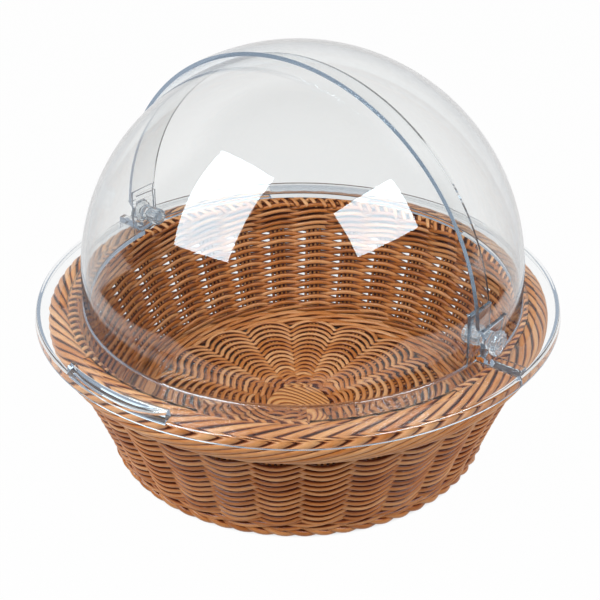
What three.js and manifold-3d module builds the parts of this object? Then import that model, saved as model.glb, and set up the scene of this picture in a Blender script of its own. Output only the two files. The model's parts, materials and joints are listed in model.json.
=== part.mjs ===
// Round woven display basket under a clear roll-top dome cover.
// Millimetres. +Z is up, the front (handle side) is -Y and the hinge line runs along X.
// The origin is the middle of the basket's foot, on the surface that it stands on.
import * as THREE from 'three';
import { mergeVertices } from 'three/addons/utils/BufferGeometryUtils.js';
import Module from 'manifold-3d';

const wasm = await Module();
wasm.setup();

// Fits shared by all pieces
const seatGap = 0.3; // between faces that rest on each other
const overrun = 5; // how far a cutting body runs past what it cuts
const cornerMerge = 0.0001; // corners nearer than this are one corner
const turnSteps = 60; // facets round a full turn of the large pieces
const smallTurnSteps = 24; // facets round a full turn of the hinge hardware
const ribSteps = 8; // facets along a locating rib
const filletSteps = 2; // facets in a small rounding

// Woven basket
const basketHeight = 119;
const footHeight = 8.7;
const footOuterRadius = 152;
const footWidth = 14;
const footRounding = 3;
const rimOuterRadius = 191.5;
const rimDepth = 33; // from the rim's top down to the top of the wall
const rimOverhang = 12; // how far the rim stands out past the top of the wall
const wallBulgeShare = 0.364; // where the flare turns up: how far out from the foot to the wall's top
const wallRiseShare = 0.43; // and how high
const weaveWall = 5.5; // at the wall's foot and top, where the columns of its weave flatten out
const wallSteps = 8; // facets up the wall's flare
const weaveColumns = 32; // groups of stakes round the wall; the weave swells over each of them
const columnSteps = 4; // facets across one column or floor sector
const columnGather = 3; // how far the outside draws in between two columns
const columnBelly = 3.5; // how far the inside stands in at a column
const columnFootFade = 0.4; // share of the flare over which the columns grow from the foot
const columnTopFade = 0.15; // and over which they flatten out below the rim
const floorThickness = 3.3;
const floorSectors = 18; // stakes round the floor; its weave swells over each of them
const floorSectorTurn = 2; // degrees round from +X to the middle of the first sector
const floorFurrow = 1.8; // how deep the floor's top dips between two sectors
const floorDiscRadius = 26.5;
const floorDiscThickness = 4.3;
const rimBraidWidth = 8.5; // outer roll, measured across its top half
const rimCrownDrop = 14; // the outer roll's widest place, below its top
const rimShoulder = 3; // rounding of the outer roll's inner top edge
const rimBandReach = 14; // slanted inner band: from the top of the wall in to its inner edge
const rimBandFootReach = 12; // and in to its lower inner edge
const rimBandOuterDrop = 4.5; // its top where it meets the roll, below the rim's top
const rimBandInnerDrop = 6; // and at its inner edge
const rimBandRounding = 3;

// Clear cover, both halves
const coverWall = 3;
const coverOverhang = 8.5; // how far the cover's skirt stands out past the basket's rim
const flangeWidth = 29; // from the foot of the skirt in to the outside of the dome
const skirtDepth = 7.5;
const skirtDraft = 1.3; // how much the skirt narrows towards its top
const flangeCorner = 2.4; // rounding of the flange's outer edge
const junctionFillet = 3; // rounding where the dome stands on the flange
const shellClearance = 4.5; // between the back half's inside and the front half's outside
const domeCentreRise = 16; // centre of the dome above the top of the flange
const domeSteps = 12; // facets from the dome's rim to its crown
const backEdgeReach = 17.5; // how far the back half reaches forward of the hinge line
const frontEdgeReach = 5; // how far the front half reaches behind the hinge line
const backFlangeStart = 7; // end of the back flange, in front of the hinge line
const flangeEndGap = 1; // between the ends of the two flanges
const locatorFit = 1.2; // between the locating ribs and the inside of the rim's roll
const locatorWidth = 6;
const locatorDepth = 4;
const locatorAngle = 17; // degrees each side of a rib's middle
const frontLocatorSpacing = 58; // degrees between the ribs' middles on the front half
const backLocatorSpacing = 64;

// Raised bar that closes the back half's flange at each end
const endBarHeight = 4;
const endBarWidth = 7.5;
const endBarOuterInset = 2.5; // from the foot of the skirt in to the bar's outer end
const endBarInset = 3; // from the dome's outside to the bar's inner end
const endBarRounding = 1.2;

// Hinge
const pivotRise = 14; // hinge line above the top of the flange
const shaftRadius = 4;
const shaftClearance = 0.35;
const earRadius = 13.5; // round foot of the back half's ear
const frontEarRadius = 14; // round foot of the front half's ear
const earStep = 16; // height over the hinge line where the back edge steps back to the ear
const earStepAngle = 150; // degrees, where the step runs out on the ear's round foot
const frontPadForward = 20; // flat hinge face of the front half: its reach ahead of the hinge line
const frontPadTop = 27; // and above it
const backPadProud = 1.3; // how far the back half's flat hinge face stands outside its dome
const backPadRearward = 15;
const backPadTop = 16;
const padDepth = 18; // how far in from the dome's outside a hinge face's side walls are looked for
const padWall = 3.2;
const collarRadius = 6.5;
const knobRadius = 9.2;
const knobThickness = 4.6;
const knobRounding = 1.2;
const knobScallops = 12;
const knobScallopDepth = 0.5;
const knobDimpleRadius = 1.6;
const knobDimpleDepth = 1;
const nutRadius = 7.2;
const nutLength = 12;
const nutFlutes = 14;
const nutFluteDepth = 0.8;
const fluteSteps = 4; // facets across one flute or scallop
const nutChamfer = 1.2;
const shaftEndInset = 1.5; // the shaft stops this far inside the nut's open end

// Scooped handle on the front rim
const handleHalfAngle = 13.5; // degrees
const handleRise = 7;
const handleFootInset = 9.5; // from the foot of the skirt in to the handle's inner foot
const handleTopInset = 7.3; // and in to the inner edge of its top
const handleTopWidth = 2.5;
const handleScoopDepth = 1.6;
const handleScoopEnd = 5.2; // height of the scoop's lower edge at the handle's ends
const handleScoopMiddle = -1.5; // and at its middle, from the flange's top
const handleSteps = 12;

// Radii and heights that follow
const flangeRadius = rimOuterRadius + coverOverhang;
const backShellRadius = flangeRadius - flangeWidth;
const wallTopRadius = rimOuterRadius - rimOverhang;
const wallTopHeight = basketHeight - rimDepth;
const handleTopInner = flangeRadius - handleTopInset;
const handleTopOuter = handleTopInner + handleTopWidth;
const flangeBottom = basketHeight + seatGap;
const flangeTop = flangeBottom + coverWall;
const domeCentre = flangeTop + domeCentreRise;
const pivotHeight = flangeTop + pivotRise;
const frontShellRadius = backShellRadius - coverWall - shellClearance;
const wallBottom = footHeight + seatGap;
const frontPadFace = frontShellRadius;
const backPadFace = backShellRadius + backPadProud;
const skirtFoot = flangeTop - skirtDepth;
const rimRollInnerRadius = rimOuterRadius - rimBraidWidth;
const locatorOuterRadius = rimRollInnerRadius - locatorFit;
const reach = flangeRadius + overrun;
const highest = domeCentre + backShellRadius + overrun;

const frontMiddle = -90; // degrees round from +X
const backMiddle = 90;

const clearPlastic = { color: 0xe9eef0, roughness: 0.05, metalness: 0, transparent: true, opacity: 0.35 };
const tanWeave = { color: 0xb5773f, roughness: 0.55, metalness: 0 };
const brownWeave = { color: 0xa5652c, roughness: 0.55, metalness: 0 };
const grainPlastic = { color: 0xb87a3c, roughness: 0.5, metalness: 0 };

const degrees = (angle) => THREE.MathUtils.degToRad(angle);
const point = (x, y) => new THREE.Vector2(x, y);

// Six times the volume that a triangle mesh encloses; it is negative where the faces point inwards.
function signedVolume(geometry) {
  const place = geometry.attributes.position;
  const index = geometry.index;
  const a = new THREE.Vector3();
  const b = new THREE.Vector3();
  const c = new THREE.Vector3();
  let sum = 0;
  for (let i = 0; i < index.count; i += 3) {
    a.fromBufferAttribute(place, index.getX(i));
    b.fromBufferAttribute(place, index.getX(i + 1));
    c.fromBufferAttribute(place, index.getX(i + 2));
    sum += a.dot(b.cross(c));
  }
  return sum;
}

// Merges shared corners, drops the slivers at poles and turns the faces outwards.
function closed(source) {
  const bare = source.clone();
  for (const name of Object.keys(bare.attributes)) {
    if (name !== 'position') bare.deleteAttribute(name);
  }
  const merged = mergeVertices(bare, cornerMerge);
  const index = merged.index.array;
  const kept = [];
  for (let i = 0; i < index.length; i += 3) {
    const [a, b, c] = [index[i], index[i + 1], index[i + 2]];
    if (a !== b && b !== c && c !== a) kept.push(a, b, c);
  }
  merged.setIndex(kept);
  if (signedVolume(merged) < 0) {
    for (let i = 0; i < kept.length; i += 3) [kept[i + 1], kept[i + 2]] = [kept[i + 2], kept[i + 1]];
    merged.setIndex(kept);
  }
  return merged;
}

function toSolid(geometry) {
  const merged = closed(geometry);
  const vertProperties = new Float32Array(merged.attributes.position.array);
  const triVerts = new Uint32Array(merged.index.array);
  return new wasm.Manifold(new wasm.Mesh({ numProp: 3, vertProperties, triVerts }));
}

function toGeometry(solid) {
  const mesh = solid.getMesh();
  const geometry = new THREE.BufferGeometry();
  geometry.setAttribute('position', new THREE.BufferAttribute(new Float32Array(mesh.vertProperties), 3));
  geometry.setIndex(new THREE.BufferAttribute(new Uint32Array(mesh.triVerts), 1));
  geometry.computeVertexNormals();
  return geometry;
}

// Turns an outline of radius and height about the upright axis.
function revolve(outline, steps = turnSteps) {
  const lathe = new THREE.LatheGeometry(outline, steps);
  lathe.rotateX(Math.PI / 2);
  return lathe;
}

// A ring whose section is the closed outline of radius and height.
function ring(section) {
  const outline = section.getPoints(filletSteps);
  if (!outline[0].equals(outline.at(-1))) outline.push(outline[0].clone());
  return revolve(outline);
}

// Runs a side view of depth (y) and height (z) across the part along X, from x0 to x1.
function acrossX(outline, x0, x1) {
  const bar = new THREE.ExtrudeGeometry(outline, {
    depth: x1 - x0,
    bevelEnabled: false,
    curveSegments: smallTurnSteps,
  });
  const turn = new THREE.Matrix4().makeBasis(
    new THREE.Vector3(0, 1, 0),
    new THREE.Vector3(0, 0, 1),
    new THREE.Vector3(1, 0, 0),
  );
  bar.applyMatrix4(turn);
  bar.translate(x0, 0, 0);
  return bar;
}

function block(x0, x1, y0, y1, z0, z1) {
  const box = new THREE.BoxGeometry(x1 - x0, y1 - y0, z1 - z0);
  box.translate((x0 + x1) / 2, (y0 + y1) / 2, (z0 + z1) / 2);
  return box;
}

function mirrored(geometry) {
  const copy = geometry.clone();
  copy.scale(-1, 1, 1);
  return copy;
}

// Outside radius of the skirt at a height over or under the flange's top.
const skirtRadius = (height) => flangeRadius - (skirtDraft * (height + skirtDepth)) / skirtDepth;

// Outline of a whole cover: outer dome, flange, skirt and back up the inside.
function coverOutline(shellRadius) {
  const inner = shellRadius - coverWall;
  const outer = new THREE.EllipseCurve(0, domeCentre, shellRadius, shellRadius, Math.PI / 2, 0, true);
  const hollow = new THREE.EllipseCurve(0, domeCentre, inner, inner, 0, Math.PI / 2, false);
  const fillet = junctionFillet;
  const foot = new THREE.Path();
  foot.moveTo(shellRadius, domeCentre);
  foot.absarc(shellRadius + fillet, flangeTop + fillet, fillet, Math.PI, 1.5 * Math.PI);
  foot.lineTo(skirtRadius(0) - flangeCorner, flangeTop);
  foot.quadraticCurveTo(skirtRadius(0), flangeTop, skirtRadius(-flangeCorner), flangeTop - flangeCorner);
  foot.lineTo(flangeRadius, skirtFoot);
  foot.lineTo(flangeRadius - coverWall, skirtFoot);
  foot.lineTo(skirtRadius(0) - coverWall, flangeBottom);
  foot.lineTo(inner, flangeBottom);
  foot.lineTo(inner, domeCentre);
  const rim = foot.getPoints(filletSteps).slice(1);
  return [...outer.getPoints(domeSteps), ...rim, ...hollow.getPoints(domeSteps).slice(1)].map(onAxis);
}

// The first and last points of a lathe outline lie exactly on the axis.
function onAxis(place, i, all) {
  if (i === 0 || i === all.length - 1) return point(0, place.y);
  return place;
}

// Side view of what belongs to the front half: the rounded ear foot, then straight up.
function frontSideView() {
  const flangeEnd = -(backFlangeStart + flangeEndGap);
  const start = Math.atan2(-Math.sqrt(frontEarRadius ** 2 - flangeEnd ** 2), flangeEnd);
  const stop = Math.atan2(-Math.sqrt(frontEarRadius ** 2 - frontEdgeReach ** 2), frontEdgeReach);
  const view = new THREE.Shape();
  view.moveTo(-reach, skirtFoot - overrun);
  view.lineTo(flangeEnd, skirtFoot - overrun);
  view.absarc(0, pivotHeight, frontEarRadius, start, stop, false);
  view.lineTo(frontEdgeReach, highest);
  view.lineTo(-reach, highest);
  return view;
}

// Side view of what belongs to the back half: flange end, round ear, step, then the front edge.
function backSideView() {
  const start = Math.atan2(-Math.sqrt(earRadius ** 2 - backFlangeStart ** 2), -backFlangeStart);
  const view = new THREE.Shape();
  view.moveTo(reach, skirtFoot - overrun);
  view.lineTo(-backFlangeStart, skirtFoot - overrun);
  view.absarc(0, pivotHeight, earRadius, start, degrees(earStepAngle) - 2 * Math.PI, true);
  view.lineTo(-backEdgeReach, pivotHeight + earStep);
  view.lineTo(-backEdgeReach, highest);
  view.lineTo(reach, highest);
  return view;
}

// A rib or bar that follows the flange: part of a ring, from angle to angle in degrees.
function ringSector(inner, outer, from, to, z0, z1) {
  const flat = new THREE.Shape();
  flat.absarc(0, 0, outer, degrees(from), degrees(to), false);
  flat.absarc(0, 0, inner, degrees(to), degrees(from), true);
  const depth = z1 - z0;
  const sector = new THREE.ExtrudeGeometry(flat, { depth, bevelEnabled: false, curveSegments: ribSteps });
  sector.translate(0, 0, z0);
  return sector;
}

// Three locating ribs under a half flange, centred on the angle given.
function locators(middle, spacing) {
  const outer = locatorOuterRadius;
  const inner = outer - locatorWidth;
  const low = flangeBottom - locatorDepth;
  return [-1, 0, 1].map((side) => {
    const at = middle + side * spacing;
    return ringSector(inner, outer, at - locatorAngle, at + locatorAngle, low, flangeBottom + coverWall / 2);
  });
}

// The space inside a whole cover, as a solid.
function insideOf(shellRadius) {
  const inner = shellRadius - coverWall;
  const low = flangeBottom - overrun;
  const hollow = new THREE.EllipseCurve(0, domeCentre, inner, inner, Math.PI / 2, 0, true);
  const outline = [...hollow.getPoints(domeSteps), point(inner, low), point(0, low)];
  return toSolid(revolve(outline.map(onAxis)));
}

// A shallow box moulded into the shell, so that the hinge has a flat face to turn on.
// It reaches from y0 to y1 and up to top, and hollowTo is where its inside ends at the back.
function earPad(shellRadius, face, y0, y1, top, hollowTo) {
  const low = flangeTop - coverWall / 2;
  const deep = shellRadius - padDepth;
  const outside = toSolid(block(deep, face, y0, y1, low, top)).subtract(insideOf(shellRadius));
  const hollow = toSolid(block(deep, face - padWall, y0 + padWall, hollowTo, low - overrun, top - padWall));
  return [outside, hollow];
}

function shaftHole() {
  const radius = shaftRadius + shaftClearance;
  const drill = new THREE.CylinderGeometry(radius, radius, 2 * reach, smallTurnSteps);
  drill.rotateZ(Math.PI / 2);
  drill.translate(0, 0, pivotHeight);
  return toSolid(drill);
}

// Joins a pad to each side of a shell and opens it from the inside.
function withEars(shell, [outside, hollow]) {
  const leftOutside = toSolid(mirrored(toGeometry(outside)));
  const leftHollow = toSolid(mirrored(toGeometry(hollow)));
  return shell.add(outside).add(leftOutside).subtract(hollow).subtract(leftHollow);
}

// One section through the handle: t runs from -1 at one end to 1 at the other.
function handleSection(t) {
  const bow = 1 - t * t;
  const edge = THREE.MathUtils.lerp(handleScoopEnd, handleScoopMiddle, bow);
  const edgeRadius = skirtRadius(edge);
  const midRadius = (handleTopOuter + edgeRadius) / 2 - handleScoopDepth * bow;
  return [
    point(flangeRadius - handleFootInset, -coverWall / 2),
    point(handleTopInner, handleRise),
    point(handleTopOuter, handleRise),
    point(midRadius, (handleRise + edge) / 2 - handleScoopDepth * bow),
    point(edgeRadius, edge),
    point(skirtRadius(-skirtDepth / 2), -skirtDepth / 2),
    point(skirtRadius(0) - coverWall, -skirtDepth / 2),
  ];
}

// Joins a row of equal sections, each a closed ring of points, into one closed body.
// Where the row runs all the way round, its last section joins the first and there are no ends.
function loft(sections, allRound = false) {
  const count = sections[0].length;
  const corners = sections.length * count;
  const places = sections.flat().flatMap((p) => [p.x, p.y, p.z]);
  const faces = [];
  const spans = allRound ? sections.length : sections.length - 1;
  for (let s = 0; s < spans; s += 1) {
    for (let i = 0; i < count; i += 1) {
      const a = s * count + i;
      const b = s * count + ((i + 1) % count);
      const [c, d] = [(a + count) % corners, (b + count) % corners];
      faces.push(a, b, c, b, d, c);
    }
  }
  const last = corners - count;
  for (let i = 1; i + 1 < count && !allRound; i += 1) {
    faces.push(0, i + 1, i, last, last + i, last + i + 1);
  }
  const geometry = new THREE.BufferGeometry();
  geometry.setAttribute('position', new THREE.Float32BufferAttribute(places, 3));
  geometry.setIndex(faces);
  return geometry;
}

function handle() {
  const sections = [];
  for (let i = 0; i <= handleSteps; i += 1) {
    const t = (2 * i) / handleSteps - 1;
    const angle = degrees(t * handleHalfAngle + frontMiddle);
    const around = (p) => new THREE.Vector3(p.x * Math.cos(angle), p.x * Math.sin(angle), flangeTop + p.y);
    sections.push(handleSection(t).map(around));
  }
  return toSolid(loft(sections));
}

function frontCover() {
  const start = -frontPadForward;
  const top = pivotHeight + frontPadTop;
  const pad = earPad(frontShellRadius, frontPadFace, start, frontEdgeReach, top, frontEdgeReach + overrun);
  const whole = withEars(toSolid(revolve(coverOutline(frontShellRadius))), pad);
  let half = whole.intersect(toSolid(acrossX(frontSideView(), -reach, reach)));
  for (const rib of locators(frontMiddle, frontLocatorSpacing)) half = half.add(toSolid(rib));
  return toGeometry(half.add(handle()).subtract(shaftHole()));
}

// The bar across the end of the back flange, with a rounded top.
function endBar() {
  const view = new THREE.Shape();
  const front = -backFlangeStart;
  const rear = front + endBarWidth;
  const top = flangeTop + endBarHeight;
  view.moveTo(front, flangeTop - coverWall / 2);
  view.lineTo(front, top - endBarRounding);
  view.quadraticCurveTo(front, top, front + endBarRounding, top);
  view.lineTo(rear - endBarRounding, top);
  view.quadraticCurveTo(rear, top, rear, top - endBarRounding);
  view.lineTo(rear, flangeTop - coverWall / 2);
  return acrossX(view, backShellRadius + endBarInset, flangeRadius - endBarOuterInset);
}

function backCover() {
  const start = -backEdgeReach - overrun;
  const top = pivotHeight + backPadTop;
  const pad = earPad(backShellRadius, backPadFace, start, backPadRearward, top, backPadRearward - padWall);
  const whole = withEars(toSolid(revolve(coverOutline(backShellRadius))), pad);
  let half = whole.intersect(toSolid(acrossX(backSideView(), -reach, reach)));
  for (const rib of locators(backMiddle, backLocatorSpacing)) half = half.add(toSolid(rib));
  const bar = endBar();
  return toGeometry(half.add(toSolid(bar)).add(toSolid(mirrored(bar))).subtract(shaftHole()));
}

// A cross-section along the hinge line with a rippled edge, for the knob and the nut.
function fluted(radius, depth, flutes) {
  const outline = new THREE.Shape();
  const count = flutes * fluteSteps;
  for (let i = 0; i < count; i += 1) {
    const angle = (2 * Math.PI * i) / count;
    const r = radius - (depth * (1 - Math.cos(angle * flutes))) / 2;
    if (i === 0) outline.moveTo(r, 0);
    else outline.lineTo(r * Math.cos(angle), r * Math.sin(angle));
  }
  outline.closePath();
  return outline;
}

// Extrudes along the hinge line, with both rims broken by a bevel; x0 is the face nearer the middle.
function alongHinge(outline, x0, length, bevel) {
  const body = new THREE.ExtrudeGeometry(outline, {
    depth: length - 2 * bevel,
    bevelThickness: bevel,
    bevelSize: bevel,
    bevelOffset: -bevel,
    bevelSegments: 1,
    curveSegments: smallTurnSteps,
  });
  body.rotateY(Math.PI / 2);
  body.translate(x0 + bevel, 0, pivotHeight);
  return body;
}

function barAlongHinge(radius, x0, x1) {
  const bar = new THREE.CylinderGeometry(radius, radius, x1 - x0, smallTurnSteps);
  bar.rotateZ(Math.PI / 2);
  bar.translate((x0 + x1) / 2, 0, pivotHeight);
  return bar;
}

const nutOuterEnd = frontPadFace - padWall - seatGap;
const nutInnerEnd = nutOuterEnd - nutLength;

// Knob outside the back ear, collar between the two ears and the shaft that carries the nut.
function hingePin() {
  const knobStart = backPadFace + seatGap;
  const knobEnd = knobStart + knobThickness;
  const rim = fluted(knobRadius, knobScallopDepth, knobScallops);
  const knob = toSolid(alongHinge(rim, knobStart, knobThickness, knobRounding));
  const collarStart = frontPadFace + seatGap;
  const collarEnd = backPadFace - padWall - seatGap;
  const shaft = toSolid(barAlongHinge(shaftRadius, nutInnerEnd + shaftEndInset, knobEnd - knobThickness / 2));
  const collar = toSolid(barAlongHinge(collarRadius, collarStart, collarEnd));
  const dimple = toSolid(barAlongHinge(knobDimpleRadius, knobEnd - knobDimpleDepth, knobEnd + overrun));
  return toGeometry(knob.add(shaft).add(collar).subtract(dimple));
}

function hingeNut() {
  const grip = fluted(nutRadius, nutFluteDepth, nutFlutes);
  const body = toSolid(alongHinge(grip, nutInnerEnd, nutLength, nutChamfer));
  const radius = shaftRadius + shaftClearance;
  const bore = toSolid(barAlongHinge(radius, nutInnerEnd - overrun, nutOuterEnd + overrun));
  return toGeometry(body.subtract(bore));
}

// The flare of the wall from the foot to the rim: its outside, or its inside when inset.
function wallCurve(inset) {
  const bulge = THREE.MathUtils.lerp(footOuterRadius, wallTopRadius, wallBulgeShare);
  const rise = THREE.MathUtils.lerp(wallBottom, wallTopHeight, wallRiseShare);
  return new THREE.QuadraticBezierCurve(
    point(footOuterRadius - inset, wallBottom),
    point(bulge - inset, rise),
    point(wallTopRadius - inset, wallTopHeight),
  );
}

// A ring whose section of radius and height changes with the angle, in waves: sectionAt is given
// 1 over the middle of each wave, 0 between two of them. The first middle lies turn degrees from +X.
function wavedRing(waves, turn, sectionAt) {
  const steps = waves * columnSteps;
  const sections = [];
  for (let i = 0; i < steps; i += 1) {
    const angle = (2 * Math.PI * i) / steps;
    const swell = (1 + Math.cos(angle * waves)) / 2;
    const [along, across] = [Math.cos(angle + degrees(turn)), Math.sin(angle + degrees(turn))];
    sections.push(sectionAt(swell).map((p) => new THREE.Vector3(p.x * along, p.x * across, p.y)));
  }
  return loft(sections, true);
}

// One side of the wall, from its foot to its top, moved inwards by depth where the columns are full.
function wallSide(inset, depth) {
  return wallCurve(inset).getPoints(wallSteps).map((p, i) => {
    const up = i / wallSteps;
    const fullness = Math.min(1, up / columnFootFade, (1 - up) / columnTopFade);
    return point(p.x - depth * fullness, p.y);
  });
}

function basketWall() {
  return wavedRing(weaveColumns, 0, (swell) => {
    const outer = wallSide(0, columnGather * (1 - swell));
    const inner = wallSide(weaveWall, columnBelly * swell);
    return [...outer, ...inner.reverse()];
  });
}

// The rolled outer braid of the rim: fullest below its crown, flattened on top.
function basketRim() {
  const inner = rimRollInnerRadius;
  const widest = basketHeight - rimCrownDrop;
  const low = wallTopHeight + seatGap;
  const section = new THREE.Shape();
  section.moveTo(wallTopRadius, low);
  section.quadraticCurveTo(rimOuterRadius, low, rimOuterRadius, widest);
  section.quadraticCurveTo(rimOuterRadius, basketHeight, (inner + rimOuterRadius) / 2, basketHeight);
  section.lineTo(inner + rimShoulder, basketHeight);
  section.quadraticCurveTo(inner, basketHeight, inner, basketHeight - rimShoulder);
  section.lineTo(inner, widest);
  section.lineTo(wallTopRadius, low);
  return ring(section);
}

// The slanted strands that run from the roll down over the inside of the wall.
function basketRimBand() {
  const outer = rimRollInnerRadius - seatGap;
  const inner = wallTopRadius - rimBandReach;
  const top = basketHeight - rimBandInnerDrop;
  const low = wallTopHeight + seatGap;
  const section = new THREE.Shape();
  section.moveTo(wallTopRadius - seatGap * 2, low);
  section.lineTo(outer, basketHeight - rimCrownDrop);
  section.lineTo(outer, basketHeight - rimBandOuterDrop);
  section.lineTo(inner + rimBandRounding, top);
  section.quadraticCurveTo(inner, top, inner, top - rimBandRounding);
  section.lineTo(wallTopRadius - rimBandFootReach, low);
  section.closePath();
  return ring(section);
}

function basketFoot() {
  const inner = footOuterRadius - footWidth;
  const section = new THREE.Shape();
  section.moveTo(inner + footRounding, 0);
  section.lineTo(footOuterRadius - footRounding, 0);
  section.quadraticCurveTo(footOuterRadius, 0, footOuterRadius, footRounding);
  section.lineTo(footOuterRadius, footHeight);
  section.lineTo(inner, footHeight);
  section.lineTo(inner, footRounding);
  section.quadraticCurveTo(inner, 0, inner + footRounding, 0);
  return ring(section);
}

function basketFloor() {
  const outer = footOuterRadius - weaveWall - seatGap;
  const inner = (floorDiscRadius + seatGap) / Math.cos(Math.PI / (floorSectors * columnSteps));
  return wavedRing(floorSectors, floorSectorTurn, (swell) => {
    const top = wallBottom + floorThickness - floorFurrow * (1 - swell);
    return [point(inner, wallBottom), point(outer, wallBottom), point(outer, top), point(inner, top)];
  });
}

function floorDisc() {
  const crown = floorDiscThickness / 4;
  const top = wallBottom + floorDiscThickness;
  const outline = [
    point(0, wallBottom),
    point(floorDiscRadius, wallBottom),
    point(floorDiscRadius, top - crown),
    point(floorDiscRadius - crown, top),
    point(0, top),
  ];
  return revolve(outline, smallTurnSteps);
}

const basketWithDomeCover = new THREE.Group();

function addPiece(name, geometry, finish) {
  const piece = new THREE.Mesh(closed(geometry), new THREE.MeshStandardMaterial(finish));
  piece.name = name;
  basketWithDomeCover.add(piece);
}

addPiece('front_cover', frontCover(), clearPlastic);
addPiece('back_cover', backCover(), clearPlastic);
addPiece('hinge_pin_right', hingePin(), clearPlastic);
addPiece('hinge_pin_left', mirrored(hingePin()), clearPlastic);
addPiece('hinge_nut_right', hingeNut(), clearPlastic);
addPiece('hinge_nut_left', mirrored(hingeNut()), clearPlastic);
addPiece('basket_wall', basketWall(), tanWeave);
addPiece('basket_rim', basketRim(), tanWeave);
addPiece('basket_rim_band', basketRimBand(), brownWeave);
addPiece('basket_foot', basketFoot(), tanWeave);
addPiece('basket_floor', basketFloor(), brownWeave);
addPiece('floor_disc', floorDisc(), grainPlastic);

export default basketWithDomeCover;
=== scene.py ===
# Round woven display basket under a clear roll-top dome cover, dressed over its solid model.
# Metres. +Z is up, the front (handle side) is -Y and the hinge line of the cover runs along X.
import json
import math
import bpy
import numpy as np
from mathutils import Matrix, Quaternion, Vector


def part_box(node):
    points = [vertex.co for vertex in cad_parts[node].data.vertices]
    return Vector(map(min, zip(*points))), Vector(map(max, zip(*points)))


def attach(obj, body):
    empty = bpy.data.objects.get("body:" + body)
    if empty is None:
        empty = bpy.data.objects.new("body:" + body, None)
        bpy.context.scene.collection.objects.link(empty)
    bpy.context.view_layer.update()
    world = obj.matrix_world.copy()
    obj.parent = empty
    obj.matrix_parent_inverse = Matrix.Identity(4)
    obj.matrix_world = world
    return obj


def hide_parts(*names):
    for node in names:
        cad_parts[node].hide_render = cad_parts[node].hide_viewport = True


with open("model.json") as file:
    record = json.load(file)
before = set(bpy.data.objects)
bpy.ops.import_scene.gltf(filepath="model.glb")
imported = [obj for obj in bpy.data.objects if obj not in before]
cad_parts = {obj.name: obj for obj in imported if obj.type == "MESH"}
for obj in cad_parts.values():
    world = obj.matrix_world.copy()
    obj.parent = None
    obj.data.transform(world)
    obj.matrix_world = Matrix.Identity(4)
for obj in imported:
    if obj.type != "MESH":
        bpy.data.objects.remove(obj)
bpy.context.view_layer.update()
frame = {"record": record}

mm = 0.001
fullTurn = 2 * math.pi


# Tools that every piece uses

def deselectAll():
    bpy.ops.object.select_all(action="DESELECT")


def makeActive(piece):
    deselectAll()
    piece.select_set(True)
    bpy.context.view_layer.objects.active = piece


def meshPiece(name, corners, faces=(), edges=()):
    mesh = bpy.data.meshes.new(name)
    mesh.from_pydata(corners, edges, faces)
    piece = bpy.data.objects.new(name, mesh)
    bpy.context.collection.objects.link(piece)
    makeActive(piece)
    return piece


def editAll(piece):
    makeActive(piece)
    bpy.ops.object.mode_set(mode="EDIT")
    bpy.ops.mesh.select_all(action="SELECT")


def faceOutwards(piece, weld=0.0):
    # merges corners that lie within the weld distance, then points every face outwards
    editAll(piece)
    if weld:
        bpy.ops.mesh.remove_doubles(threshold=weld)
    bpy.ops.mesh.normals_make_consistent(inside=False)
    bpy.ops.object.mode_set(mode="OBJECT")
    return piece


def applyModifier(piece, modifier):
    makeActive(piece)
    bpy.ops.object.modifier_apply(modifier=modifier.name)


def roundEdges(piece, width, segments=3):
    bevel = piece.modifiers.new("rounding", "BEVEL")
    bevel.width, bevel.segments, bevel.limit_method = width, segments, "ANGLE"
    applyModifier(piece, bevel)


def smoothByAngle(piece, degrees):
    makeActive(piece)
    bpy.ops.object.shade_smooth_by_angle(angle=math.radians(degrees))


def arcPoints(centre, radius, start, stop, count):
    turns = np.radians(np.linspace(start, stop, count))
    return [(centre[0] + radius * math.cos(a), centre[1] + radius * math.sin(a)) for a in turns]


# Colours and materials

def linear(hexColour):
    channels = [int(hexColour[i:i + 2], 16) / 255 for i in (1, 3, 5)]
    curve = [c / 12.92 if c <= 0.04045 else ((c + 0.055) / 1.055) ** 2.4 for c in channels]
    return (*curve, 1.0)


def addNode(owner, kind, settings=None, links=None):
    # kind may name an operation; settings are attributes, input values or a ramp's stops
    # a link starts at an output, or at a node's first one
    kind, *operation = kind.split()
    node = owner.node_tree.nodes.new("ShaderNode" + kind)
    if operation:
        node.operation = operation[0]
    for key, value in (settings or {}).items():
        if key == "stops":
            elements = node.color_ramp.elements
            for k, (place, colour) in enumerate(value):
                element = elements[k] if k < len(elements) else elements.new(place)
                element.position, element.color = place, linear(colour)
        elif isinstance(key, int) or key in node.inputs:
            node.inputs[key].default_value = value
        else:
            setattr(node, key, value)
    for key, origin in (links or {}).items():
        output = origin.outputs[0] if isinstance(origin, bpy.types.Node) else origin
        owner.node_tree.links.new(output, node.inputs[key])
    return node


def newMaterial(name):
    material = bpy.data.materials.new(name)
    material.use_nodes = True
    material.node_tree.nodes.clear()
    return material


cane = dict(
    dark="#914B18", middle="#C47836", light="#E9B07A",  # tan to orange brown
    rampPlaces=(0.1, 0.5, 0.9), rampStart=-0.1,
    grooveShare=0.45, patchShare=0.35, toneShare=0.42,  # what lines, patches and each length's tone add to it
    shadeTint=(0.76, 1.18, 1.58),  # painted shade between canes takes on their colour
    paintedGapShade=0.1, gapFrom=0.68, paintedHiddenShade=0.2,  # painted shade where canes touch, and where one dives behind another
    grooveLength=9 * mm, grooveCount=7,  # fine drawing lines along the strand, and how many round it
    patchScale=0.12,  # patches of tone are longer than the lines by one over this
    roughness=0.37, ior=1.5, bump=0.3 * mm, bumpStrength=0.6,
)


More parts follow.
